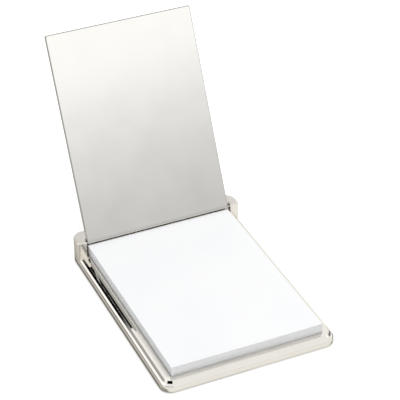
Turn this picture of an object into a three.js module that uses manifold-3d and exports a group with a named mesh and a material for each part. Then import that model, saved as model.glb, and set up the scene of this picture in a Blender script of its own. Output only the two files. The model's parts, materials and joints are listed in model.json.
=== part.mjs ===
// Desk memo pad holder: a polished nickel tray that holds a block of note paper,
// with a flip-up cover plate hinged between two posts at the rear corners.
// Millimetres. X runs across the tray, -Y is the front, +Z is up.
// The driving lengths along Y start at the front edge of the paper, and those along Z at the table.

import * as THREE from 'three';
import { mergeVertices } from 'three/addons/utils/BufferGeometryUtils.js';
import Module from 'manifold-3d';

const wasm = await Module();
wasm.setup();

// ---- driving dimensions ----
const FIT_GAP = 0.3;             // space between two pieces that rest on each other
const SEAT_GAP = 0.2;            // space round a post where it is let into the tray
const RAIL_GAP = 0.1;            // under the stop rail, which is screwed down hard

const PAD_WIDTH = 80;            // paper size
const PAD_DEPTH = 110;
const PAD_TOP = 11.6;            // top of a fresh pad above the table
const BOARD_THICKNESS = 0.8;     // greyboard under the paper
const SHEET_THICKNESS = 0.1;     // top sheet
const GUM_THICKNESS = 0.4;       // gummed strip on the rear edge of the pad

const TRAY_SIDE_MARGIN = 6.2;     // paper edge to the outside of the tray
const TRAY_FRONT_MARGIN = 5.2;
const TRAY_REAR_Y = 119.2;
const TRAY_CORNER_RADIUS = 6;
const METAL_BOTTOM = 0.5;        // the felt lifts the metal off the table by this much
const LEDGE_TOP = 6.4;           // top of the rim round the paper
const LEDGE_CROWN = [            // the ledge falls away slightly outwards, as [inset, drop]
  [2.6, 0.26],
  [3.3, 0.18],
  [4.2, 0.08],
  [5.6, 0],
];
const CREASE_INSET = 1.45;       // a bevel edges the ledge and meets the shoulder in a crease
const CREASE_Z = 4.81;
const SHOULDER_RADIUS = 1.9;     // generous rounding over the outer wall
const SHOULDER_START_Z = 2.9;    // the wall is straight up to here
const SHOULDER_SWEEP = 62;       // degrees, and straight from there to the crease
const FOOT_RADIUS = 0.8;         // rounding under it
const POCKET_CLEARANCE = 0.4;    // round the paper
const POCKET_DEPTH = 3.2;
const POCKET_CORNER_RADIUS = 1;

const FELT_THICKNESS = 0.8;
const FELT_INSET = 1.6;

const HINGE_Y = 110.35;          // the cover turns about a line along X
const HINGE_Z = 12.9;
const LID_WIDTH = 80.3;
const LID_THICKNESS = 2;
const LID_REACH = 109.2;         // hinge line to the free edge
const LID_LEAN = 26;             // degrees past upright where the cover rests open
const LID_CORNER_RADIUS = 0.8;
const LID_EDGE_RADIUS = 0.45;

const PIN_RADIUS = 0.5;
const PIN_LENGTH = 10.4;
const PIN_IN_LID = 6;            // depth of the pin in the edge of the cover
const LID_HOLE_RADIUS = 0.56;
const POST_BORE_RADIUS = 0.58;
const POST_BORE_DEPTH = 3.9;

const POST_INNER_X = 41;
const POST_FRONT_Y = 108.4;
const POST_TOP = 14.7;
const POST_FRONT_RADIUS = 1.5;
const POST_EDGE_RADIUS = 0.5;
const SEAT_DEPTH = 2.6;          // the posts and the rail stand this far below the ledge

const RAIL_EDGE_RADIUS = 0.5;    // the rail fills the space between the posts, flush with them

const SCREW_RADIUS = 0.8;
const SCREW_HEAD_RADIUS = 1.5;
const SCREW_HEAD_RIM = 0.2;      // straight edge of the countersunk head
const SCREW_HEAD_HEIGHT = 1;
const SCREW_LENGTH = 8.4;
const SCREW_SLOT_SIZE = 0.4;     // width and depth of the slot
const SCREW_CLEARANCE = 0.15;
const SCREW_TIP_ROOM = 0.6;
const SCREW_RECESS = 0.1;        // the head lies this far inside the felt recess
const POST_SCREW_X = 42.8;
const POST_SCREW_YS = [110, 114.2];
const RAIL_SCREW_X = 28;
const RAIL_SCREW_Y = 113.5;

const ROUND_SIDES = 24;
const CORNER_STEPS = 10;
const EDGE_STEPS = 4;
const LID_EDGE_STEPS = 8;
const OVERCUT = 1;               // how far a cut runs past the face it opens

// ---- lengths that follow from them ----
const TRAY_HALF_WIDTH = PAD_WIDTH / 2 + TRAY_SIDE_MARGIN;
const TRAY_FRONT_Y = -TRAY_FRONT_MARGIN;
const POCKET_FLOOR = LEDGE_TOP - POCKET_DEPTH;
const FELT_CEILING = FELT_THICKNESS + FIT_GAP;
const BOARD_BOTTOM = POCKET_FLOOR + FIT_GAP;
const BOARD_TOP = BOARD_BOTTOM + BOARD_THICKNESS;
const PAPER_BOTTOM = BOARD_TOP + FIT_GAP;
const PAPER_TOP = PAD_TOP - SHEET_THICKNESS - FIT_GAP;
const PAPER_REAR_Y = PAD_DEPTH - GUM_THICKNESS - FIT_GAP;
const SEAT_FLOOR = LEDGE_TOP - SEAT_DEPTH;
const RAIL_HALF_LENGTH = POST_INNER_X - FIT_GAP;
const RAIL_REAR_Y = TRAY_REAR_Y;
const RAIL_TOP = POST_TOP;
const RAIL_CLEAR = LID_THICKNESS / 2 + FIT_GAP;   // hinge line to the face the cover leans on
const LID_HALF = LID_THICKNESS / 2;
const LEAN = THREE.MathUtils.degToRad(LID_LEAN);
const SCREW_BOTTOM = FELT_CEILING + SCREW_RECESS;
const SCREW_HOLE_RADIUS = SCREW_RADIUS + SCREW_CLEARANCE;
const SCREW_HOLE_TOP = SCREW_BOTTOM + SCREW_LENGTH + SCREW_TIP_ROOM;

const SIDES = [['left', -1], ['right', 1]];

const NICKEL = { color: 0xded9cf, roughness: 0.06, metalness: 1 };
const SATIN_NICKEL = { color: 0xd8d6d0, roughness: 0.16, metalness: 1 };
const STEEL = { color: 0xb9bbbd, roughness: 0.25, metalness: 1 };
const PAPER = { color: 0xf8f8f8, roughness: 0.85, metalness: 0 };
const GREYBOARD = { color: 0xa79f92, roughness: 0.95, metalness: 0 };
const GUM = { color: 0xf1efe8, roughness: 0.5, metalness: 0 };
const FELT = { color: 0x1d1e20, roughness: 1, metalness: 0 };

// ---- solids ----
function toSolid(geometry) {
  geometry.deleteAttribute('normal');
  geometry.deleteAttribute('uv');
  const merged = mergeVertices(geometry);
  const vertProperties = new Float32Array(merged.attributes.position.array);
  const triVerts = new Uint32Array(merged.index.array);
  return new wasm.Manifold(new wasm.Mesh({ numProp: 3, vertProperties, triVerts }));
}

function toGeometry(solid) {
  const { vertProperties, triVerts } = solid.getMesh();
  const positions = new Float32Array(vertProperties);
  const geometry = new THREE.BufferGeometry();
  geometry.setAttribute('position', new THREE.BufferAttribute(positions, 3));
  geometry.setIndex(new THREE.BufferAttribute(new Uint32Array(triVerts), 1));
  geometry.computeVertexNormals();
  return geometry;
}

function mesh(name, solid, look) {
  const result = new THREE.Mesh(toGeometry(solid), new THREE.MeshStandardMaterial(look));
  result.name = name;
  return result;
}

function box(xs, ys, zs) {
  const geometry = new THREE.BoxGeometry(xs[1] - xs[0], ys[1] - ys[0], zs[1] - zs[0]);
  geometry.translate((xs[0] + xs[1]) / 2, (ys[0] + ys[1]) / 2, (zs[0] + zs[1]) / 2);
  return toSolid(geometry);
}

// A round rod along Z at [x, y], from one height to another.
function uprightRod(radius, [x, y], from, to) {
  const geometry = new THREE.CylinderGeometry(radius, radius, to - from, ROUND_SIDES);
  geometry.rotateX(Math.PI / 2);
  geometry.translate(x, y, (from + to) / 2);
  return toSolid(geometry);
}

// A round rod along X at [y, z], on the left (side -1) or the right (side 1).
function sideRod(radius, [y, z], side, from, to) {
  const geometry = new THREE.CylinderGeometry(radius, radius, to - from, ROUND_SIDES);
  geometry.rotateZ(Math.PI / 2);
  geometry.translate((side * (from + to)) / 2, y, z);
  return toSolid(geometry);
}

// Points of an arc about a centre, angles in degrees.
function arc([x, y], radius, from, to, steps) {
  return Array.from({ length: steps + 1 }, (_, step) => {
    const angle = THREE.MathUtils.degToRad(from + ((to - from) * step) / steps);
    return [x + radius * Math.cos(angle), y + radius * Math.sin(angle)];
  });
}

// A convex rounding of an edge, as [inset, z] pairs: an inset runs inwards from the outline.
function edgeRound(inset, z, radius, from, to) {
  return arc([-inset, z], radius, from, to, EDGE_STEPS).map(([x, height]) => [-x, height]);
}

// The outline of a rectangle with round corners, anticlockwise, as [x, y] points.
function roundedOutline(halfWidth, frontY, rearY, radius) {
  const right = halfWidth - radius;
  const front = frontY + radius;
  const rear = rearY - radius;
  return [
    ...arc([right, front], radius, -90, 0, CORNER_STEPS),
    ...arc([right, rear], radius, 0, 90, CORNER_STEPS),
    ...arc([-right, rear], radius, 90, 180, CORNER_STEPS),
    ...arc([-right, front], radius, 180, 270, CORNER_STEPS),
  ];
}

// A solid through a stack of convex outlines of equal point count, each at its own height.
function loft(levels) {
  const count = levels[0].outline.length;
  const positions = levels.flatMap(({ outline, z }) => outline.flatMap(([x, y]) => [x, y, z]));
  const index = [];
  const top = (levels.length - 1) * count;
  for (let i = 1; i < count - 1; i += 1) {
    index.push(0, i + 1, i);
    index.push(top, top + i, top + i + 1);
  }
  for (let level = 0; level < levels.length - 1; level += 1) {
    for (let i = 0; i < count; i += 1) {
      const a = level * count + i;
      const b = level * count + ((i + 1) % count);
      index.push(a, b, b + count, a, b + count, a + count);
    }
  }
  const geometry = new THREE.BufferGeometry();
  geometry.setAttribute('position', new THREE.Float32BufferAttribute(positions, 3));
  geometry.setIndex(index);
  return toSolid(geometry);
}

function prism(outline, bottom, top) {
  return loft([{ outline, z: bottom }, { outline, z: top }]);
}

// A section drawn in Y and Z, run along X and centred on X = 0.
function extrudeAlongX(section, length) {
  const options = { depth: length, curveSegments: LID_EDGE_STEPS, bevelEnabled: false };
  const geometry = new THREE.ExtrudeGeometry(section, options);
  const along = new THREE.Vector3(1, 0, 0);
  const depth = new THREE.Vector3(0, 1, 0);
  const height = new THREE.Vector3(0, 0, 1);
  geometry.applyMatrix4(new THREE.Matrix4().makeBasis(depth, height, along));
  geometry.translate(-length / 2, 0, 0);
  return toSolid(geometry);
}

// ---- tray ----
// Every level of the tray is the outer outline, drawn in by an inset.
function trayOutline(inset) {
  return roundedOutline(
    TRAY_HALF_WIDTH - inset,
    TRAY_FRONT_Y + inset,
    TRAY_REAR_Y - inset,
    TRAY_CORNER_RADIUS - inset,
  );
}

// The wall is rounded at the foot and the shoulder; the bevel steps up from there to the ledge.
function trayBody() {
  const profile = [
    ...edgeRound(FOOT_RADIUS, METAL_BOTTOM + FOOT_RADIUS, FOOT_RADIUS, -90, 0),
    ...edgeRound(SHOULDER_RADIUS, SHOULDER_START_Z, SHOULDER_RADIUS, 0, SHOULDER_SWEEP),
    [CREASE_INSET, CREASE_Z],
    ...LEDGE_CROWN.map(([inset, drop]) => [inset, LEDGE_TOP - drop]),
  ];
  return loft(profile.map(([inset, z]) => ({ outline: trayOutline(inset), z })));
}

function pocket() {
  const outline = roundedOutline(
    PAD_WIDTH / 2 + POCKET_CLEARANCE,
    -POCKET_CLEARANCE,
    PAD_DEPTH + POCKET_CLEARANCE,
    POCKET_CORNER_RADIUS,
  );
  return prism(outline, POCKET_FLOOR, LEDGE_TOP + OVERCUT);
}

function feltRecess() {
  return prism(trayOutline(FELT_INSET - FIT_GAP), METAL_BOTTOM - OVERCUT, FELT_CEILING);
}

function postSeat(side) {
  const inner = POST_INNER_X - SEAT_GAP;
  const outer = TRAY_HALF_WIDTH + OVERCUT;
  const xs = side > 0 ? [inner, outer] : [-outer, -inner];
  const ys = [POST_FRONT_Y - SEAT_GAP, TRAY_REAR_Y + OVERCUT];
  return box(xs, ys, [SEAT_FLOOR, LEDGE_TOP + OVERCUT]);
}

function railSeat() {
  const front = HINGE_Y + RAIL_CLEAR * Math.cos(LEAN) - SEAT_GAP;
  const ys = [front, TRAY_REAR_Y + OVERCUT];
  return box([-POST_INNER_X, POST_INNER_X], ys, [SEAT_FLOOR, LEDGE_TOP + OVERCUT]);
}

// The countersunk head, widened by some room all round when it cuts its own seat.
function screwCone([x, y], room) {
  const profile = [
    [0, SCREW_BOTTOM - room],
    [SCREW_HEAD_RADIUS + room, SCREW_BOTTOM - room],
    [SCREW_HEAD_RADIUS + room, SCREW_BOTTOM + SCREW_HEAD_RIM],
    [SCREW_RADIUS + room, SCREW_BOTTOM + SCREW_HEAD_HEIGHT],
    [0, SCREW_BOTTOM + SCREW_HEAD_HEIGHT],
  ];
  const points = profile.map(([r, z]) => new THREE.Vector2(r, z));
  const geometry = new THREE.LatheGeometry(points, ROUND_SIDES);
  geometry.rotateX(Math.PI / 2);
  geometry.translate(x, y, 0);
  return toSolid(geometry);
}

function screwHole(place) {
  const bottom = METAL_BOTTOM - OVERCUT;
  const shank = uprightRod(SCREW_HOLE_RADIUS, place, bottom, LEDGE_TOP + OVERCUT);
  return shank.add(screwCone(place, SCREW_CLEARANCE));
}

const postScrews = SIDES.flatMap(([, side]) => POST_SCREW_YS.map((y) => [side * POST_SCREW_X, y]));
const railScrews = SIDES.map(([, side]) => [side * RAIL_SCREW_X, RAIL_SCREW_Y]);

function tray() {
  let solid = trayBody().subtract(pocket()).subtract(feltRecess()).subtract(railSeat());
  for (const [, side] of SIDES) {
    solid = solid.subtract(postSeat(side));
  }
  for (const place of [...postScrews, ...railScrews]) {
    solid = solid.subtract(screwHole(place));
  }
  return solid;
}

function feltPad() {
  return prism(trayOutline(FELT_INSET), 0, FELT_THICKNESS);
}

// ---- hinge posts, stop rail and screws ----
// A post fills the rear corner of the tray: its outer face is flush with the wall and its rear
// corner follows the tray's own round corner. The outline is drawn in by an inset.
function postOutline(inset) {
  const inner = POST_INNER_X + inset;
  const front = POST_FRONT_Y + inset;
  const outer = TRAY_HALF_WIDTH - inset;
  const frontRadius = POST_FRONT_RADIUS - inset;
  const rearRadius = TRAY_CORNER_RADIUS - inset;
  const frontCentre = [outer - frontRadius, front + frontRadius];
  const rearCentre = [outer - rearRadius, TRAY_REAR_Y - TRAY_CORNER_RADIUS];
  const reach = THREE.MathUtils.radToDeg(Math.acos((inner - rearCentre[0]) / rearRadius));
  return [
    [inner, front],
    ...arc(frontCentre, frontRadius, -90, 0, CORNER_STEPS),
    ...arc(rearCentre, rearRadius, 0, reach, CORNER_STEPS),
  ];
}

// Built on the right and mirrored for the left.
function hingePost(side) {
  const profile = [
    [0, SEAT_FLOOR + SEAT_GAP],
    ...edgeRound(POST_EDGE_RADIUS, POST_TOP - POST_EDGE_RADIUS, POST_EDGE_RADIUS, 0, 90),
  ];
  const blank = loft(profile.map(([inset, z]) => ({ outline: postOutline(inset), z })));
  const bore = sideRod(POST_BORE_RADIUS, [HINGE_Y, HINGE_Z], 1, 0, POST_INNER_X + POST_BORE_DEPTH);
  let solid = blank.subtract(bore);
  for (const y of POST_SCREW_YS) {
    solid = solid.subtract(uprightRod(SCREW_HOLE_RADIUS, [POST_SCREW_X, y], 0, SCREW_HOLE_TOP));
  }
  return side > 0 ? solid : solid.mirror([1, 0, 0]);
}

// The rail behind the cover carries the slanted land that the open cover leans on.
function stopRail() {
  const footY = HINGE_Y + RAIL_CLEAR * Math.cos(LEAN);
  const footZ = HINGE_Z - RAIL_CLEAR * Math.sin(LEAN);
  const landTopY = footY + (RAIL_TOP - footZ) * Math.tan(LEAN);
  const bottom = SEAT_FLOOR + RAIL_GAP;
  const roundY = RAIL_REAR_Y - RAIL_EDGE_RADIUS;
  const roundZ = RAIL_TOP - RAIL_EDGE_RADIUS;
  const section = new THREE.Shape();
  section.moveTo(footY, bottom);
  section.lineTo(RAIL_REAR_Y, bottom);
  section.lineTo(RAIL_REAR_Y, roundZ);
  section.absarc(roundY, roundZ, RAIL_EDGE_RADIUS, 0, Math.PI / 2);
  section.lineTo(landTopY, RAIL_TOP);
  section.lineTo(footY, footZ);
  section.closePath();
  let solid = extrudeAlongX(section, 2 * RAIL_HALF_LENGTH);
  for (const place of railScrews) {
    solid = solid.subtract(uprightRod(SCREW_HOLE_RADIUS, place, 0, SCREW_HOLE_TOP));
  }
  return solid;
}

function screw(place) {
  const [x, y] = place;
  const shankBottom = SCREW_BOTTOM + SCREW_SLOT_SIZE;
  const shank = uprightRod(SCREW_RADIUS, place, shankBottom, SCREW_BOTTOM + SCREW_LENGTH);
  const reach = SCREW_HEAD_RADIUS + OVERCUT;
  const half = SCREW_SLOT_SIZE / 2;
  const slotZs = [SCREW_BOTTOM - OVERCUT, SCREW_BOTTOM + SCREW_SLOT_SIZE];
  const slot = box([x - reach, x + reach], [y - half, y + half], slotZs);
  return screwCone(place, 0).add(shank).subtract(slot);
}

// ---- paper pad ----
function padLayer(bottom, top) {
  return box([-PAD_WIDTH / 2, PAD_WIDTH / 2], [0, PAPER_REAR_Y], [bottom, top]);
}

function gumStrip() {
  const ys = [PAD_DEPTH - GUM_THICKNESS, PAD_DEPTH];
  return box([-PAD_WIDTH / 2, PAD_WIDTH / 2], ys, [BOARD_BOTTOM, PAD_TOP]);
}

// ---- cover plate and hinge pins ----
// The plate lies flat about its own hinge line at the origin and reaches along +Y, with a full
// round along the hinge edge; the assembly stands it up.
function coverPlate() {
  const quarter = Math.PI / 2;
  const roundY = LID_REACH - LID_EDGE_RADIUS;
  const roundZ = LID_HALF - LID_EDGE_RADIUS;
  const section = new THREE.Shape();
  section.absarc(0, 0, LID_HALF, quarter, 3 * quarter);
  section.absarc(roundY, -roundZ, LID_EDGE_RADIUS, -quarter, 0);
  section.absarc(roundY, roundZ, LID_EDGE_RADIUS, 0, quarter);
  section.closePath();
  const slab = extrudeAlongX(section, LID_WIDTH);
  const plan = prism(
    roundedOutline(LID_WIDTH / 2, -LID_HALF - OVERCUT, LID_REACH, LID_CORNER_RADIUS),
    -LID_THICKNESS,
    LID_THICKNESS,
  );
  const holeEnd = LID_WIDTH / 2 - PIN_IN_LID;
  const holeMouth = LID_WIDTH / 2 + OVERCUT;
  let solid = slab.intersect(plan);
  for (const [, side] of SIDES) {
    solid = solid.subtract(sideRod(LID_HOLE_RADIUS, [0, 0], side, holeEnd, holeMouth));
  }
  return solid;
}

function hingePin(side) {
  const inner = LID_WIDTH / 2 - PIN_IN_LID + FIT_GAP;
  return sideRod(PIN_RADIUS, [0, 0], side, inner, inner + PIN_LENGTH);
}

// ---- assembly ----
const holder = new THREE.Group();

holder.add(mesh('tray', tray(), NICKEL));
holder.add(mesh('base_felt', feltPad(), FELT));

for (const [name, side] of SIDES) {
  holder.add(mesh(`hinge_post_${name}`, hingePost(side), NICKEL));
}
holder.add(mesh('stop_rail', stopRail(), NICKEL));

for (const [i, place] of postScrews.entries()) {
  const [name] = SIDES[Math.floor(i / 2)];
  const end = i % 2 === 0 ? 'front' : 'rear';
  holder.add(mesh(`post_screw_${name}_${end}`, screw(place), STEEL));
}
for (const [i, place] of railScrews.entries()) {
  const [name] = SIDES[i];
  holder.add(mesh(`rail_screw_${name}`, screw(place), STEEL));
}

holder.add(mesh('pad_backing_board', padLayer(BOARD_BOTTOM, BOARD_TOP), GREYBOARD));
holder.add(mesh('paper_block', padLayer(PAPER_BOTTOM, PAPER_TOP), PAPER));
holder.add(mesh('top_sheet', padLayer(PAD_TOP - SHEET_THICKNESS, PAD_TOP), PAPER));
holder.add(mesh('pad_gum_strip', gumStrip(), GUM));

// The cover group's origin is the hinge line, turned up to its resting lean.
const cover = new THREE.Group();
cover.position.set(0, HINGE_Y, HINGE_Z);
cover.rotation.x = THREE.MathUtils.degToRad(90 - LID_LEAN);
cover.add(mesh('cover_plate', coverPlate(), SATIN_NICKEL));
for (const [name, side] of SIDES) {
  cover.add(mesh(`hinge_pin_${name}`, hingePin(side), STEEL));
}
holder.add(cover);

// The part's origin is on the table, under the middle of its box with the cover open.
const extent = new THREE.Box3().setFromObject(holder, true);
holder.position.y = -(extent.min.y + extent.max.y) / 2;

export default holder;
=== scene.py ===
import json
import math
import random

import bmesh
import bpy
from mathutils import Matrix, Vector


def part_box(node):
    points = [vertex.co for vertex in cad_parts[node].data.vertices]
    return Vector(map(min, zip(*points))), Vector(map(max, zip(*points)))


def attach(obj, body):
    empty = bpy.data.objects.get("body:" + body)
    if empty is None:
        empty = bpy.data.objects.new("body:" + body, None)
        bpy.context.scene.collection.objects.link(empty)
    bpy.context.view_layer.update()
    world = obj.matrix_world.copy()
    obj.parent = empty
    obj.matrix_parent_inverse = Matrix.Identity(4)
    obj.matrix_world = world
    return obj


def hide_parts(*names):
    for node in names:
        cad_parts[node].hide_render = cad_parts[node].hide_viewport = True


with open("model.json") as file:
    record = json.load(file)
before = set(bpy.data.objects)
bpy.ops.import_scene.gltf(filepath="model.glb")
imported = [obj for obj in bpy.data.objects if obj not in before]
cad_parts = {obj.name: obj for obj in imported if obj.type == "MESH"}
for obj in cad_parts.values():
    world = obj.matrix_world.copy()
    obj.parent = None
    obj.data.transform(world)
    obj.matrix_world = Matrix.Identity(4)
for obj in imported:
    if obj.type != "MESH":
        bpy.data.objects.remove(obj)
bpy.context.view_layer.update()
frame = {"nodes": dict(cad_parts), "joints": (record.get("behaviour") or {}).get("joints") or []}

scene = bpy.context.scene
random.seed(7)

MM = 0.001

# ---- the frame's own measures ----
tray_low, tray_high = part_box("tray")
paper_low, paper_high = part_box("paper_block")
board_low, board_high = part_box("pad_backing_board")
post_low, post_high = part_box("hinge_post_right")
rail_low, rail_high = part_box("stop_rail")
sheet_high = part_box("top_sheet")[1]
gum_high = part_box("pad_gum_strip")[1]
felt_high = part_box("base_felt")[1]
hinge = Vector(frame["joints"][0]["pos_m"])

PAPER_FRONT = paper_low.y            # every length along Y below starts here


def from_front(y):
    """A place along the frame's Y as millimetres behind the paper's front edge."""
    return (y - PAPER_FRONT) / MM


def xyz(x, y, z):
    """A point given in millimetres from the paper's front edge and the table."""
    return Vector((x * MM, PAPER_FRONT + y * MM, z * MM))


HALF_WIDTH = tray_high.x / MM
TRAY_FRONT = from_front(tray_low.y)
TRAY_REAR = from_front(tray_high.y)
METAL_BOTTOM = tray_low.z / MM
LEDGE_TOP = tray_high.z / MM
PAD_HALF = paper_high.x / MM
PAD_DEPTH = from_front(gum_high.y)
PAD_TOP = sheet_high.z / MM
BOARD_BOTTOM = board_low.z / MM
BOARD_TOP = board_high.z / MM
POST_INNER = post_low.x / MM
POST_FRONT = from_front(post_low.y)
POST_TOP = post_high.z / MM
HINGE_Y = from_front(hinge.y)
HINGE_Z = hinge.z / MM

# ---- sizes of the tray, with profiles as (inset from the wall, height) ----
CORNER_RADIUS = 6.0
CORNER_STEPS = 16
RECESS_INSET = 1.3                   # the felt's recess under the tray
RECESS_TOP = 1.1
FOOT_RADIUS = 0.8
SHOULDER_START = 2.9                 # the height at which the wall starts to round over
SHOULDER_RADIUS = 1.9
SHOULDER_SWEEP = 62
BEVEL_FOOT = [(1.54, 4.89), (1.58, 4.92), (1.61, 4.955)]
BEVEL_TOP = [(2.50, 6.07), (2.53, 6.092), (2.58, 6.106)]
LEDGE_FALL = [(3.60, 0.142), (3.68, 0.13), (4.8, 0.048), (5.5, 0.0)]   # inset, drop from its top
LEDGE_STOP = -0.37                   # the ledge's front stretch ends just short of the pad
POCKET_CLEARANCE = 0.25              # the pocket is this much larger than the pad all round
POCKET_CORNER = 1.0
POCKET_DEPTH = 3.2

# ---- sizes of the posts and the rail ----
POST_BOTTOM = 2.6
POST_EDGE = 0.6                      # rounding of the upper edges
POST_FRONT_RADIUS = 1.5
POST_INNER_RADIUS = 0.35
RAIL_OVERRUN = 1.0                   # how far the rail's ends run into the posts
RAIL_CLEARANCE = 0.06                # between the open cover and the rail

# ---- sizes of the cover and its pins ----
LID_ANGLE = math.radians(26)         # lean past upright at rest
LID_HALF_WIDTH = 40.15
LID_REACH = 109.2                    # from the hinge line to the free edge
LID_FOOT = -0.64                     # the hinge edge, just past the hinge line
LID_HALF_THICKNESS = 1.0
LID_EDGE = 0.42                      # rounding of the edges through the thickness
LID_FLAT = 0.4                       # half the flat in the middle of each edge
HINGE_EDGE = 0.6                     # the hinge edge is rounder
LID_CORNER = 0.8
HINGE_CORNER = 0.3
PIN_RADIUS = 0.5
PIN_CHAMFER = 0.12
PIN_SIDES = 28
GROOVE_PITCH = 1.4
GROOVE_WIDTH = 0.12
GROOVE_DEPTH = 0.015

# ---- sizes of the pad and the felt ----
SHEET_DEPTH = PAD_DEPTH - 0.45       # the gum fills the rest
SHEET = 0.1
SHEET_PITCH = 0.125
SHEET_SCATTER = 0.035                # how far a sheet may be out of line
CORNER_LIFT = 0.10                   # of the top sheet's free corners
FELT_WAVE = 0.03 / 45                # waves of the cut edge, per distance from the middle


# ---- node helpers ----
class Nodes:
    """A node tree, with short calls to add and join nodes. Plain values may stand for sockets."""

    def __init__(self, tree, coordinates):
        self.tree = tree
        self.place = self.add("ShaderNodeTexCoord").outputs[coordinates]

    def join(self, value, socket):
        if isinstance(value, bpy.types.NodeSocket):
            self.tree.links.new(value, socket)
        else:
            socket.default_value = value

    def add(self, kind, **settings):
        node = self.tree.nodes.new(kind)
        for key, value in settings.items():
            if key in node.inputs:
                self.join(value, node.inputs[key])
            else:
                setattr(node, key, value)
        return node

    def axes(self):
        """The place's X, Y and Z as three sockets."""
        split = self.add("ShaderNodeSeparateXYZ")
        self.join(self.place, split.inputs[0])
        return split.outputs["X"], split.outputs["Y"], split.outputs["Z"]

    def noise(self, scale, detail=3.0, stretch=(1, 1, 1), roughness=0.5):
        stretched = self.add("ShaderNodeMapping", Vector=self.place, Scale=stretch)
        node = self.add("ShaderNodeTexNoise", Vector=stretched.outputs["Vector"], Scale=scale,
                        Detail=detail, Roughness=roughness)
        return node.outputs["Fac"]

    def ramp(self, value, low, high, start=0.3, end=0.7):
        """value from start to end becomes a number from low to high."""
        node = self.add("ShaderNodeMapRange", Value=value)
        node.inputs["From Min"].default_value = start
        node.inputs["From Max"].default_value = end
        node.inputs["To Min"].default_value = low
        node.inputs["To Max"].default_value = high
        return node.outputs["Result"]

    def rise(self, value, start, end):
        """0 where value is before start, 1 where it is past end."""
        return self.ramp(value, 0.0, 1.0, start, end)

    def colours(self, value, stops):
        """Colours by value, as (position, colour) pairs in rising order."""
        node = self.add("ShaderNodeValToRGB", Fac=value)
        elements = node.color_ramp.elements
        while len(elements) < len(stops):
            elements.new(0.5)
        for element, (position, colour) in zip(elements, stops):
            element.position = position
            element.color = (*colour, 1)
        return node.outputs["Color"]

    def greys(self, value, stops):
        """Grey levels by value, as (position, level) pairs in rising order."""
        return self.colours(value, [(position, (level,) * 3) for position, level in stops])

    def calculate(self, operation, a, b):
        node = self.add("ShaderNodeMath", operation=operation)
        self.join(a, node.inputs[0])
        self.join(b, node.inputs[1])
        return node.outputs[0]

    def product(self, *values):
        whole = values[0]
        for value in values[1:]:
            whole = self.calculate("MULTIPLY", whole, value)
        return whole

    def sum(self, a, b, share):
        """a plus that share of b."""
        return self.calculate("ADD", a, self.product(b, share))

    def mix(self, share, a, b):
        """Colour a where share is 0, and b where it is 1."""
        node = self.add("ShaderNodeMix", data_type="RGBA")
        self.join(share, node.inputs[0])
        self.join(a, node.inputs[6])
        self.join(b, node.inputs[7])
        return node.outputs[2]

    def by_ray(self, plain, mirrored):
        """One shader for mirror rays and a plain one for all others."""
        path = self.add("ShaderNodeLightPath")
        choice = self.add("ShaderNodeMixShader")
        self.join(path.outputs["Is Glossy Ray"], choice.inputs[0])
        self.join(plain, choice.inputs[1])
        self.join(mirrored, choice.inputs[2])
        return choice.outputs[0]


class Finish(Nodes):
    """A material's nodes, round its Principled shader."""

    def __init__(self, name):
        self.material = bpy.data.materials.new(name)
        self.material.use_nodes = True
        super().__init__(self.material.node_tree, "Object")
        self.shader = self.tree.nodes["Principled BSDF"]

    def set(self, name, value):
        self.join(value, self.shader.inputs[name])

    def bump(self, height, strength, depth):
        """Fine relief from height, depth millimetres deep."""
        node = self.add("ShaderNodeBump", Height=height, Strength=strength, Distance=depth * MM)
        self.set("Normal", node.outputs["Normal"])


# ---- node materials ----
SHADE_FADE = 2.2 * MM                 # the height over which the painted shade fades out


def nickel(name, colour, roughness, spread, hairline, stretch=(1, 1, 1), shade_below=None):
    """Plated and buffed metal: cloudy roughness, fine buffing lines and a faint tone change.
    Below a given height it darkens a little: painted shade along the cover's hinge edge."""
    metal = Finish(name)
    cloud = metal.noise(55)
    lines = metal.noise(900, 2, stretch)
    darker = tuple(0.965 * channel for channel in colour)
    shade = metal.colours(cloud, [(0.35, darker), (0.65, colour)])
    # painted shade: the colour darkens below the given height and clears over the fade above it
    if shade_below:
        height = metal.axes()[2]
        unshaded = metal.rise(height, shade_below - SHADE_FADE, shade_below)
        painted_shade = metal.greys(unshaded, [(0.0, 0.70), (0.35, 0.74), (0.7, 0.90), (1.0, 1.0)])
        shaded = metal.add("ShaderNodeVectorMath", operation="MULTIPLY")
        metal.join(shade, shaded.inputs[0])
        metal.join(painted_shade, shaded.inputs[1])
        shade = shaded.outputs[0]
    metal.set("Metallic", 1.0)
    metal.set("Base Color", shade)
    wear = metal.sum(cloud, lines, 0.35)
    metal.set("Roughness", metal.ramp(wear, roughness, roughness + spread, 0.5, 0.9))
    metal.bump(lines, hairline, 0.004)
    return metal.material


def paper_material():
    """Uncoated paper: a fine fibre tooth and very faint clouds."""
    paper = Finish("uncoated_paper")
    cloud = paper.noise(26, 2)
    fibre = paper.noise(2600, 4, roughness=0.65)
    stops = [(0.35, (0.885, 0.892, 0.905)), (0.65, (0.905, 0.910, 0.918))]
    paper.set("Base Color", paper.colours(paper.sum(cloud, fibre, 0.15), stops))
    paper.set("Roughness", paper.ramp(fibre, 0.82, 0.95))
    paper.set("Specular IOR Level", 0.25)
    paper.bump(fibre, 0.25, 0.02)
    return paper.material


def edge_material():
    """The cut edges of the block: fine layers, greyer than the face as painted shade on the sides."""
    edges = Finish("paper_edges_shaded")
    layers = edges.noise(1400, 2, (0.03, 0.03, 3.2))
    streaks = edges.noise(160, 3, (0.12, 0.12, 6.0))
    relief = edges.sum(layers, streaks, 0.7)
    # painted shade: the edges are a darker grey than the face, for the shade on the sides
    stops = [(0.55, (0.61, 0.615, 0.615)), (0.95, (0.74, 0.742, 0.742))]
    edges.set("Base Color", edges.colours(relief, stops))
    edges.set("Roughness", edges.ramp(layers, 0.85, 0.97))
    edges.set("Specular IOR Level", 0.2)
    edges.bump(relief, 0.3, 0.04)
    return edges.material


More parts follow.
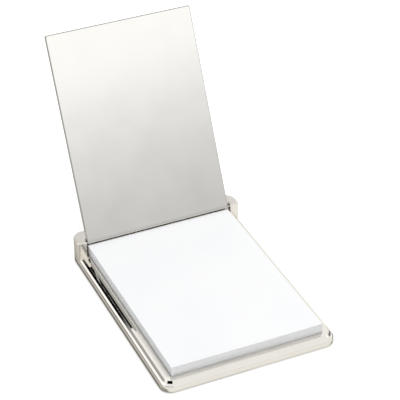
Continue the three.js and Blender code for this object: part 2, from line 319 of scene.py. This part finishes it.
def board_material():
    """Pressed waste board, with flecks that lie flat."""
    board = Finish("greyboard")
    flecks = board.noise(900, 5, (1, 1, 3), 0.7)
    stops = [(0.35, (0.30, 0.27, 0.235)), (0.55, (0.42, 0.385, 0.34)), (0.72, (0.56, 0.53, 0.48))]
    board.set("Base Color", board.colours(flecks, stops))
    board.set("Roughness", board.ramp(flecks, 0.85, 1.0))
    board.bump(flecks, 0.5, 0.06)
    return board.material


def gum_material():
    """Brushed-on glue that has sagged a little as it dried."""
    gum = Finish("padding_gum")
    sags = gum.noise(240, 3, (1, 1, 0.35))
    stops = [(0.3, (0.80, 0.785, 0.74)), (0.7, (0.88, 0.87, 0.84))]
    gum.set("Base Color", gum.colours(sags, stops))
    gum.set("Roughness", gum.ramp(sags, 0.38, 0.6))
    gum.bump(sags, 0.5, 0.2)
    return gum.material


def felt_material():
    """Black wool felt: matted fibres in larger tufts, with a soft sheen."""
    felt = Finish("wool_felt")
    fibres = felt.noise(2200, 6, roughness=0.75)
    tufts = felt.noise(420)
    relief = felt.sum(fibres, tufts, 0.6)
    stops = [(0.55, (0.012, 0.012, 0.014)), (1.0, (0.075, 0.076, 0.08))]
    felt.set("Base Color", felt.colours(relief, stops))
    felt.set("Roughness", felt.ramp(fibres, 0.9, 1.0))
    felt.set("Sheen Weight", 0.35)
    felt.set("Sheen Roughness", 0.5)
    felt.bump(relief, 0.8, 0.3)
    return felt.material


def steel_material():
    """Turned steel of the screws and pins, a little uneven from the tool."""
    steel = Finish("turned_steel")
    marks = steel.noise(1500, 2)
    stops = [(0.3, (0.50, 0.50, 0.51)), (0.7, (0.68, 0.68, 0.69))]
    steel.set("Metallic", 1.0)
    steel.set("Base Color", steel.colours(marks, stops))
    steel.set("Roughness", steel.ramp(marks, 0.22, 0.38))
    steel.bump(marks, 0.3, 0.02)
    return steel.material


POLISHED = nickel("polished_nickel", (0.905, 0.875, 0.815), 0.018, 0.03, 0.08, (0.06, 1, 1))
# the cover gets painted shade below a height just above the hinge line
COVER = nickel("cover_nickel", (0.885, 0.873, 0.838), 0.06, 0.04, 0.12, (1, 0.05, 0.05),
               hinge.z + 1.6 * MM)
CUT_EDGE = nickel("cover_cut_edge", (0.50, 0.49, 0.465), 0.22, 0.1, 0.3)
# the pocket's dark colour is painted shade under the pad; its higher roughness is its dull finish
SHADED_POCKET = nickel("pocket_nickel_shaded", (0.20, 0.185, 0.165), 0.45, 0.2, 0.3)
PAPER = paper_material()
SHADED_EDGES = edge_material()
BOARD = board_material()
GUM = gum_material()
FELT = felt_material()
STEEL = steel_material()


# ---- mesh building ----
def arc(x, y, radius, start, end, steps):
    points = []
    for i in range(steps + 1):
        angle = math.radians(start + (end - start) * i / steps)
        points.append((x + radius * math.cos(angle), y + radius * math.sin(angle)))
    return points


def rounded_outline(half, front, rear, radius, steps=CORNER_STEPS):
    """Anticlockwise points of a rectangle with round corners."""
    right, low, high = half - radius, front + radius, rear - radius
    return (arc(right, low, radius, -90, 0, steps) + arc(right, high, radius, 0, 90, steps)
            + arc(-right, high, radius, 90, 180, steps) + arc(-right, low, radius, 180, 270, steps))


def edge_round(radius, z, start, end, steps):
    """A convex rounding as (inset, z) pairs, upright at the height z, where its angle is 0."""
    points = []
    for i in range(steps + 1):
        angle = math.radians(start + (end - start) * i / steps)
        points.append((radius - radius * math.cos(angle), z + radius * math.sin(angle)))
    return points


def add_piece(name, mesh, body, replaced, materials):
    """An object that rides on a body and stands for one CAD node."""
    for material in materials:
        mesh.materials.append(material)
    obj = bpy.data.objects.new(name, mesh)
    scene.collection.objects.link(obj)
    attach(obj, body)
    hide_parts(replaced)
    return obj


def add_smooth_piece(name, mesh, body, replaced, materials, sharp=32):
    """The same, with smooth shading that keeps flats flat and edges over sharp degrees crisp."""
    mesh.validate()
    for polygon in mesh.polygons:
        polygon.use_smooth = True
    mesh.set_sharp_from_angle(angle=math.radians(sharp))
    obj = add_piece(name, mesh, body, replaced, materials)
    weighted = obj.modifiers.new("even_shading", "WEIGHTED_NORMAL")
    weighted.keep_sharp = True
    weighted.weight = 100
    return obj


def skin(name, rings, body, replaced, materials):
    """A closed skin through rings of points, capped at both ends."""
    count = len(rings[0])
    points = [tuple(point) for ring in rings for point in ring]
    faces = [tuple(reversed(range(count)))]
    for level in range(len(rings) - 1):
        for i in range(count):
            a = level * count + i
            b = level * count + (i + 1) % count
            faces.append((a, b, b + count, a + count))
    faces.append(tuple(range(len(points) - count, len(points))))
    mesh = bpy.data.meshes.new(name)
    mesh.from_pydata(points, [], faces)
    return add_smooth_piece(name, mesh, body, replaced, materials)


# ---- tray ----
def tray_outline(inset):
    """The tray's plan, drawn in by inset; at the front it stops just short of the pad."""
    radius = max(CORNER_RADIUS - inset, 0.3)
    front = min(TRAY_FRONT + inset, LEDGE_STOP)
    return rounded_outline(HALF_WIDTH - inset, front, TRAY_REAR - inset, radius)


def tray_rings():
    """From the felt recess, round the foot, up the wall and over the rim into the pocket."""
    profile = [(RECESS_INSET, RECESS_TOP), (RECESS_INSET, METAL_BOTTOM + 0.1),
               (RECESS_INSET - 0.05, METAL_BOTTOM)]
    profile += edge_round(FOOT_RADIUS, METAL_BOTTOM + FOOT_RADIUS, -90, 0, 6)
    profile += edge_round(SHOULDER_RADIUS, SHOULDER_START, 0, SHOULDER_SWEEP, 14)
    profile += BEVEL_FOOT + BEVEL_TOP
    profile += [(inset, LEDGE_TOP - drop) for inset, drop in LEDGE_FALL]
    rings = [[xyz(x, y, z) for x, y in tray_outline(inset)] for inset, z in profile]
    for eased, drop in ((0.08, 0.01), (0.0, 0.09), (0.0, POCKET_DEPTH)):
        grown = POCKET_CLEARANCE + eased
        outline = rounded_outline(PAD_HALF + grown, -grown, PAD_DEPTH + grown, POCKET_CORNER + eased)
        rings.append([xyz(x, y, LEDGE_TOP - drop) for x, y in outline])
    return rings


def in_pocket(point):
    """True on the pocket's own wall and floor, which are left dull and darkened with painted shade."""
    x, y, z = abs(point.x) / MM, from_front(point.y), point.z / MM
    reach = POCKET_CLEARANCE + 0.01
    below_ledge = METAL_BOTTOM + 1 < z < LEDGE_TOP - 0.05
    return below_ledge and x < PAD_HALF + reach and -reach < y < PAD_DEPTH + reach


tray = skin("tray_body", tray_rings(), "holder", "tray", [POLISHED, SHADED_POCKET])
for polygon in tray.data.polygons:
    if all(in_pocket(tray.data.vertices[i].co) for i in polygon.vertices):
        polygon.material_index = 1


# ---- felt ----
def felt_rings():
    """A cut sheet with a soft lower edge that waves a little."""
    inset = HALF_WIDTH - felt_high.x / MM
    top = felt_high.z / MM
    rings = []
    for eased, z in ((0.25, 0.0), (0.08, 0.06), (0.0, 0.2), (0.0, top - 0.1), (0.1, top)):
        ring = []
        for i, (x, y) in enumerate(tray_outline(inset + eased)):
            wave = FELT_WAVE * math.sin(i * 1.7) if 0 < z < top else 0.0
            ring.append(xyz(x * (1 - wave), y, z))
        rings.append(ring)
    return rings


skin("felt_sheet", felt_rings(), "holder", "base_felt", [FELT])


# ---- hinge posts ----
def post_outline(inset, side):
    """A post's plan, drawn in by inset. Its outer side follows the tray's rear corner."""
    inner, front, outer = POST_INNER + inset, POST_FRONT + inset, HALF_WIDTH - 0.02 - inset
    front_radius, rear_radius = POST_FRONT_RADIUS - inset * 0.6, CORNER_RADIUS - inset
    centre = (outer - rear_radius, TRAY_REAR - CORNER_RADIUS)
    reach = math.degrees(math.acos((inner - centre[0]) / rear_radius)) - 2
    points = arc(inner + POST_INNER_RADIUS, front + POST_INNER_RADIUS, POST_INNER_RADIUS, 180, 270, 4)
    points += arc(outer - front_radius, front + front_radius, front_radius, -90, 0, 10)
    points += arc(*centre, rear_radius, 0, reach, 18)
    points.append((inner, points[-1][1] - 0.25))
    if side < 0:
        points = [(-x, y) for x, y in reversed(points)]
    return points


def post(name, side, replaced):
    """A post with rounded upper edges; side is -1 on the left and 1 on the right."""
    profile = [(0.0, POST_BOTTOM)] + edge_round(POST_EDGE, POST_TOP - POST_EDGE, 0, 88, 8)
    rings = [[xyz(x, y, z) for x, y in post_outline(inset, side)] for inset, z in profile]
    skin(name, rings, "holder", replaced, [POLISHED])


post("post_left", -1, "hinge_post_left")
post("post_right", 1, "hinge_post_right")


# ---- cover plate ----
def lid_place(x, along, out):
    """A point of the cover: along it from the hinge line, and out from its middle to the front."""
    c, s = math.cos(LID_ANGLE), math.sin(LID_ANGLE)
    y = along * s - out * c
    z = along * c + out * s
    return Vector((x * MM, hinge.y + y * MM, hinge.z + z * MM))


def lid_outline(half, low, high):
    """The cover's outline, with larger corners at its free end than at the hinge."""
    free, hinged = half - LID_CORNER, half - HINGE_CORNER
    return (arc(hinged, low + HINGE_CORNER, HINGE_CORNER, -90, 0, 4)
            + arc(free, high - LID_CORNER, LID_CORNER, 0, 90, 8)
            + arc(-free, high - LID_CORNER, LID_CORNER, 90, 180, 8)
            + arc(-hinged, low + HINGE_CORNER, HINGE_CORNER, 180, 270, 4))


def lid_rings():
    """Outlines stacked through the thickness; the hinge edge is rounded more than the others."""
    levels = []
    for degrees in (-90, -75, -58, -40, -20, 0):
        angle = math.radians(degrees)
        out = LID_EDGE * (1 + math.sin(angle)) - LID_HALF_THICKNESS
        levels.append((out, LID_EDGE * (1 - math.cos(angle))))
    levels.append((-LID_FLAT, 0.0))
    levels += [(-out, inset) for out, inset in reversed(levels)]
    rings = []
    for out, inset in levels:
        past_flat = max(abs(out) - LID_FLAT, 0.0)
        hinge_inset = HINGE_EDGE - math.sqrt(max(HINGE_EDGE ** 2 - past_flat ** 2, 0))
        outline = lid_outline(LID_HALF_WIDTH - inset, LID_FOOT + hinge_inset, LID_REACH - inset)
        rings.append([lid_place(x, along, out) for x, along in outline])
    return rings


# the narrow edges are left as cut, except close to the hinge
cover = skin("cover_panel", lid_rings(), "cover", "cover_plate", [COVER, CUT_EDGE])
for polygon in cover.data.polygons:
    if len(polygon.vertices) == 4 and polygon.center.z > hinge.z + 1.5 * MM:
        polygon.material_index = 1


# ---- hinge pins ----
def pin(name, side, replaced):
    """A dowel with chamfered ends and shallow turned grooves."""
    low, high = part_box(replaced)
    start, end = (low.x / MM, high.x / MM) if side > 0 else (-high.x / MM, -low.x / MM)
    levels = [(start, PIN_RADIUS - PIN_CHAMFER), (start + PIN_CHAMFER, PIN_RADIUS)]
    x = start + 0.6
    while x < end - 0.6:
        levels += [(x, PIN_RADIUS), (x + GROOVE_WIDTH / 2, PIN_RADIUS - GROOVE_DEPTH),
                   (x + GROOVE_WIDTH, PIN_RADIUS)]
        x += GROOVE_PITCH
    levels += [(end - PIN_CHAMFER, PIN_RADIUS), (end, PIN_RADIUS - PIN_CHAMFER)]
    rings = []
    for x, radius in levels:
        ring = []
        for i in range(PIN_SIDES):
            angle = math.tau * i / PIN_SIDES * side
            spoke = Vector((side * x, radius * math.cos(angle), radius * math.sin(angle)))
            ring.append(hinge + spoke * MM)
        rings.append(ring)
    skin(name, rings, "cover", replaced, [STEEL])


pin("pin_left", -1, "hinge_pin_left")
pin("pin_right", 1, "hinge_pin_right")


# ---- stop rail ----
def rail_rings():
    """The rail's section, with its slanted land and rounded rear edge. It runs on into the posts."""
    rear = from_front(rail_high.y)
    bottom, top = rail_low.z / MM, rail_high.z / MM - 0.01
    out = LID_HALF_THICKNESS + RAIL_CLEARANCE
    foot_y = HINGE_Y + out * math.cos(LID_ANGLE)
    foot_z = HINGE_Z - out * math.sin(LID_ANGLE)
    land_y = foot_y + (top - foot_z) * math.tan(LID_ANGLE)
    section = [(foot_y + 0.06, bottom), (rear - 0.1, bottom), (rear, bottom + 0.1)]
    section += arc(rear - POST_EDGE, top - POST_EDGE, POST_EDGE, 0, 90, 6)
    section += [(land_y + 0.22, top), (land_y + 0.1, top - 0.03), (land_y - 0.04, top - 0.2)]
    section += [(foot_y, foot_z), (foot_y, bottom + 0.06)]
    half = POST_INNER + RAIL_OVERRUN
    return [[xyz(x, y, z) for y, z in section] for x in (-half, -half / 3, half / 3, half)]


skin("rail", rail_rings(), "holder", "stop_rail", [POLISHED])


# ---- paper pad ----
def note_sheets():
    """Separate sheets, each a little out of line with its neighbours."""
    mesh = bpy.data.meshes.new("note_sheets")
    bm = bmesh.new()
    stack = PAD_TOP - SHEET - BOARD_TOP
    count = round(stack / SHEET_PITCH)
    pitch = stack / count
    corners = [(-PAD_HALF, 0), (PAD_HALF, 0), (PAD_HALF, SHEET_DEPTH), (-PAD_HALF, SHEET_DEPTH)]
    for i in range(count):
        dx = random.uniform(-SHEET_SCATTER, SHEET_SCATTER)
        dy = random.uniform(-SHEET_SCATTER, SHEET_SCATTER)
        bottom = BOARD_TOP + i * pitch
        low, high = [[bm.verts.new(xyz(x + dx, y + dy, z)) for x, y in corners]
                     for z in (bottom, bottom + pitch * 0.93)]
        bm.faces.new(list(reversed(low)))
        bm.faces.new(high)
        for k in range(4):
            n = (k + 1) % 4
            edge = bm.faces.new((low[k], low[n], high[n], high[k]))
            edge.material_index = 1
    bm.to_mesh(mesh)
    bm.free()
    add_piece("note_sheets", mesh, "holder", "paper_block", [PAPER, SHADED_EDGES])


def top_leaf():
    """The top sheet, with the slightest lift at its free front corners."""
    mesh = bpy.data.meshes.new("top_leaf")
    bm = bmesh.new()
    columns, rows = 24, 32
    low, high = [], []
    for grid, z in ((low, PAD_TOP - SHEET + 0.004), (high, PAD_TOP - SHEET * 0.1 + 0.004)):
        for j in range(rows + 1):
            row = []
            for i in range(columns + 1):
                u, v = i / columns * 2 - 1, j / rows
                lift = CORNER_LIFT * max(0.0, 1 - v * 5) ** 2 * abs(u) ** 6
                row.append(bm.verts.new(xyz(u * PAD_HALF, v * SHEET_DEPTH, z + lift)))
            grid.append(row)
    for j in range(rows):
        for i in range(columns):
            for grid in (low, high):
                quad = [grid[j][i], grid[j][i + 1], grid[j + 1][i + 1], grid[j + 1][i]]
                bm.faces.new(list(reversed(quad)) if grid is low else quad)
    border = ([(0, i) for i in range(columns)] + [(j, columns) for j in range(rows)]
              + [(rows, i) for i in range(columns, 0, -1)] + [(j, 0) for j in range(rows, 0, -1)])
    for (j, i), (n, k) in zip(border, border[1:] + border[:1]):
        edge = bm.faces.new((low[j][i], low[n][k], high[n][k], high[j][i]))
        edge.material_index = 1
    bm.to_mesh(mesh)
    bm.free()
    add_smooth_piece("top_leaf", mesh, "holder", "top_sheet", [PAPER, SHADED_EDGES], 40)


def soft_box(name, half, ys, zs, radius, replaced, material):
    """A flat board or strip with eased edges."""
    (front, rear), (bottom, top) = ys, zs
    part = 0.3 * radius
    rings = []
    for inset, z in ((radius, bottom), (part, bottom + part), (0, bottom + radius),
                     (0, top - radius), (part, top - part), (radius, top)):
        corner = max(radius - inset, 0.02)
        outline = rounded_outline(half - inset, front + inset, rear - inset, corner, 4)
        rings.append([xyz(x, y, z) for x, y in outline])
    skin(name, rings, "holder", replaced, [material])


note_sheets()
top_leaf()
soft_box("backing_board", PAD_HALF, (0.02, SHEET_DEPTH), (BOARD_BOTTOM, BOARD_TOP - 0.01), 0.08,
         "pad_backing_board", BOARD)
soft_box("gum_edge", PAD_HALF + 0.02, (SHEET_DEPTH, PAD_DEPTH), (BOARD_BOTTOM, PAD_TOP - 0.02), 0.12,
         "pad_gum_strip", GUM)

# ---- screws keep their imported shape, with the turned steel ----
for node_name, node in frame["nodes"].items():
    if "screw" in node_name:
        node.data.materials.clear()
        node.data.materials.append(STEEL)


# ---- studio floor ----
def mirrored_floor(card):
    """The card as polished metal mirrors it, with painted shade close to the tray on every side."""
    x, y = card.axes()[:2]
    left = card.colours(card.rise(x, tray_low.x - 12 * MM, tray_low.x),
                        [(0.0, (0.62, 0.60, 0.57)), (0.62, (0.52, 0.49, 0.45)),
                         (0.85, (0.40, 0.38, 0.35)), (0.91, (0.22, 0.21, 0.19)),
                         (1.0, (0.09, 0.09, 0.08))])
    beyond = card.rise(x, tray_high.x, tray_high.x + 50 * MM)
    right = card.colours(beyond, [(0.0, (0.80, 0.79, 0.75)), (0.08, (0.92, 0.91, 0.88))])
    # painted reflection: a dark strip, seen only in mirror rays, slightly askew beside the front right
    # corner
    painted_dark_strip = card.colours(beyond, [(0.09, (0.90, 0.89, 0.86)), (0.13, (0.05, 0.05, 0.05))])
    askew = card.sum(y, x, -0.12)
    on_painted_strip = card.product(card.rise(askew, -80 * MM, -78.5 * MM),
                            card.rise(askew, -66 * MM, -67.5 * MM))
    right = card.mix(on_painted_strip, right, painted_dark_strip)
    sides = card.mix(card.rise(x, -MM, MM), left, right)
    front = card.colours(card.rise(y, tray_low.y - 4 * MM, tray_low.y),
                         [(0.0, (0.93, 0.92, 0.89)), (0.7, (0.86, 0.85, 0.82)),
                          (0.88, (0.66, 0.65, 0.62)), (1.0, (0.40, 0.39, 0.37))])
    ahead = card.mix(card.rise(y, tray_low.y - MM, tray_low.y + 6 * MM), front, sides)
    rear = card.colours(card.rise(y, tray_high.y, tray_high.y + 6 * MM),
                        [(0.0, (0.45, 0.44, 0.42)), (0.4, (0.74, 0.73, 0.70)),
                         (1.0, (0.86, 0.85, 0.82))])
    behind = card.product(card.rise(y, tray_high.y - MM, tray_high.y),
                          card.rise(x, tray_low.x - MM, tray_low.x + 3 * MM))
    return card.mix(behind, ahead, rear)


def floor_material():
    """White card that is faintly lit of itself, so that it stays pale to the horizon."""
    card = Finish("pale_floor")
    card.set("Base Color", card.greys(card.noise(3, 2), [(0.3, 0.93), (0.7, 0.95)]))
    card.set("Roughness", 0.9)
    card.set("Specular IOR Level", 0.0)
    glow = card.add("ShaderNodeEmission", Strength=0.40)
    lit = card.add("ShaderNodeAddShader")
    card.join(card.shader.outputs[0], lit.inputs[0])
    card.join(glow.outputs[0], lit.inputs[1])
    # mirror rays see painted shade and a painted dark strip in place of the card
    mirrored = card.add("ShaderNodeEmission", Color=mirrored_floor(card))
    surface = card.by_ray(lit.outputs[0], mirrored.outputs[0])
    card.join(surface, card.tree.nodes["Material Output"].inputs["Surface"])
    return card.material


def add_floor(half):
    """A square card; half is half its width in metres."""
    mesh = bpy.data.meshes.new("studio_floor")
    corners = [(-half, -half, 0), (half, -half, 0), (half, half, 0), (-half, half, 0)]
    mesh.from_pydata(corners, [], [(0, 1, 2, 3)])
    mesh.materials.append(floor_material())
    obj = bpy.data.objects.new("studio_floor", mesh)
    scene.collection.objects.link(obj)


add_floor(4.0)


# ---- studio surround ----
class Surround(Nodes):
    """The world's nodes. Their place is a direction, so its X, Y and Z run from -1 to 1."""

    def __init__(self, name):
        self.world = bpy.data.worlds.new(name)
        self.world.use_nodes = True
        self.world.node_tree.nodes.clear()
        super().__init__(self.world.node_tree, "Generated")

    def smooth(self, value, start, end):
        """0 before start and 1 past end, eased between them."""
        node = self.add("ShaderNodeMapRange", interpolation_type="SMOOTHSTEP", Value=value)
        node.inputs["From Min"].default_value = start
        node.inputs["From Max"].default_value = end
        return node.outputs["Result"]

    def band(self, value, low, high, soft):
        """1 while value is between low and high, 0 outside, soft at the ends."""
        return self.product(self.smooth(value, low - soft, low + soft),
                            self.smooth(value, high + soft, high - soft))

    def along(self, axis):
        """How far the direction points along a level axis."""
        dot = self.add("ShaderNodeVectorMath", operation="DOT_PRODUCT")
        self.join(self.place, dot.inputs[0])
        self.join(axis, dot.inputs[1])
        return dot.outputs["Value"]

    def panel(self, *bands, share=1.0):
        """A dark panel: 1 - share where every band is open, 1 elsewhere."""
        return self.calculate("SUBTRACT", 1.0, self.product(*bands, share))


def mirrored_room(studio):
    """Grey levels of a pale room by height, with its darker parts low down and behind the tray."""
    across, depth, height = studio.axes()
    front = studio.greys(height, [(0.0, 0.86), (0.13, 0.84), (0.19, 0.58), (0.225, 0.58), (0.27, 0.68),
                                  (0.31, 0.88), (0.345, 1.13), (0.42, 1.13), (0.52, 0.92), (1.0, 0.92)])
    behind_left = studio.greys(height, [(0.0, 0.36), (0.16, 0.40), (0.28, 0.50), (0.37, 0.64),
                                        (0.44, 0.95), (0.50, 1.15), (1.0, 1.15)])
    behind_right = studio.greys(height, [(0.0, 0.30), (0.3, 0.45), (0.55, 0.70), (0.62, 0.78),
                                         (0.8, 1.0)])
    far_right = (0.95, 0.95, 0.95, 1)
    behind = studio.mix(studio.smooth(across, 0.22, -0.1), behind_right, behind_left)
    behind = studio.mix(studio.smooth(across, 0.30, 0.45), behind, far_right)
    return studio.mix(studio.smooth(depth, -0.05, 0.25), front, behind)


def dark_panels(studio):
    """The dark panels round the tray, which give polished metal its contrast."""
    across, depth, height = studio.axes()
    overhead = studio.panel(studio.band(across, -0.06, 0.14, 0.010),
                            studio.band(depth, -0.06, 0.125, 0.015),
                            studio.band(height, 0.85, 1.2, 0.02))
    overhead_right = studio.panel(studio.band(across, 0.14, 0.40, 0.010),
                                  studio.band(depth, -0.10, 0.30, 0.03),
                                  studio.band(height, 0.85, 1.2, 0.02), share=0.52)
    low_behind = studio.panel(studio.band(studio.along((0.76, 0.65, 0)), -0.022, 0.024, 0.006),
                              studio.band(studio.along((-0.65, 0.76, 0)), 0.8, 1.2, 0.05),
                              studio.band(height, 0.10, 0.29, 0.02))
    high_front = studio.panel(studio.band(studio.along((0.926, -0.378, 0)), -0.62, 0.335, 0.01),
                              studio.band(studio.along((-0.378, -0.926, 0)), 0.3, 1.2, 0.05),
                              studio.band(height, 0.55, 0.70, 0.006))
    high_behind = studio.panel(studio.band(across, -0.17, 0.14, 0.01),
                               studio.band(depth, 0.744, 0.85, 0.006),
                               studio.band(height, 0.5, 0.76, 0.02))
    low_right = studio.panel(studio.band(studio.along((0.98, 0.20, 0)), 0.94, 1.2, 0.02),
                             studio.band(height, -0.2, 0.17, 0.02))
    return studio.product(overhead, overhead_right, low_behind, high_front, high_behind, low_right)


def light_surround():
    """Even white light all round, and for mirror rays the room with its panels."""
    studio = Surround("studio")
    mirrored = studio.add("ShaderNodeVectorMath", operation="SCALE")
    studio.join(mirrored_room(studio), mirrored.inputs[0])
    studio.join(dark_panels(studio), mirrored.inputs["Scale"])
    room = studio.add("ShaderNodeBackground", Color=mirrored.outputs[0], Strength=1.0)
    even = studio.add("ShaderNodeBackground", Color=(1.0, 1.0, 1.0, 1), Strength=0.62)
    out = studio.add("ShaderNodeOutputWorld")
    studio.join(studio.by_ray(even.outputs[0], room.outputs[0]), out.inputs["Surface"])
    scene.world = studio.world


light_surround()


def softbox(name, place, size, watts):
    """A square light that faces the tray and isn't mirrored in it. Its place and size are in metres."""
    data = bpy.data.lights.new(name, "AREA")
    data.shape = "SQUARE"
    data.size = size
    data.energy = watts
    obj = bpy.data.objects.new(name, data)
    obj.location = place
    obj.rotation_mode = "QUATERNION"
    obj.rotation_quaternion = (-Vector(place)).to_track_quat("-Z", "Y")
    obj.visible_glossy = False
    scene.collection.objects.link(obj)


softbox("overhead_light", (0.25, -0.25, 1.3), 1.2, 10.5)

# ---- camera ----
LENS = 153.072
SENSOR = 36.0
YAW, PITCH, ROLL = -0.41285, 0.59094, -0.01286      # radians; the pitch is downwards
CAMERA_PLACE = xyz(-275.83, -574.51, PAD_TOP + 511.54)

forward = Vector((-math.sin(YAW) * math.cos(PITCH), math.cos(YAW) * math.cos(PITCH), -math.sin(PITCH)))
level = Vector((math.cos(YAW), math.sin(YAW), 0))
upright = level.cross(forward)
right = math.cos(ROLL) * level + math.sin(ROLL) * upright
above = -math.sin(ROLL) * level + math.cos(ROLL) * upright
turn = Matrix((right, above, -forward)).transposed().to_4x4()

camera_data = bpy.data.cameras.new("camera")
camera_data.sensor_width = SENSOR
camera_data.lens = LENS
camera_data.clip_start = 0.05
camera_data.clip_end = 20
camera = bpy.data.objects.new("camera", camera_data)
camera.matrix_world = Matrix.Translation(CAMERA_PLACE) @ turn
scene.collection.objects.link(camera)
scene.camera = camera
scene.view_settings.view_transform = "Standard"
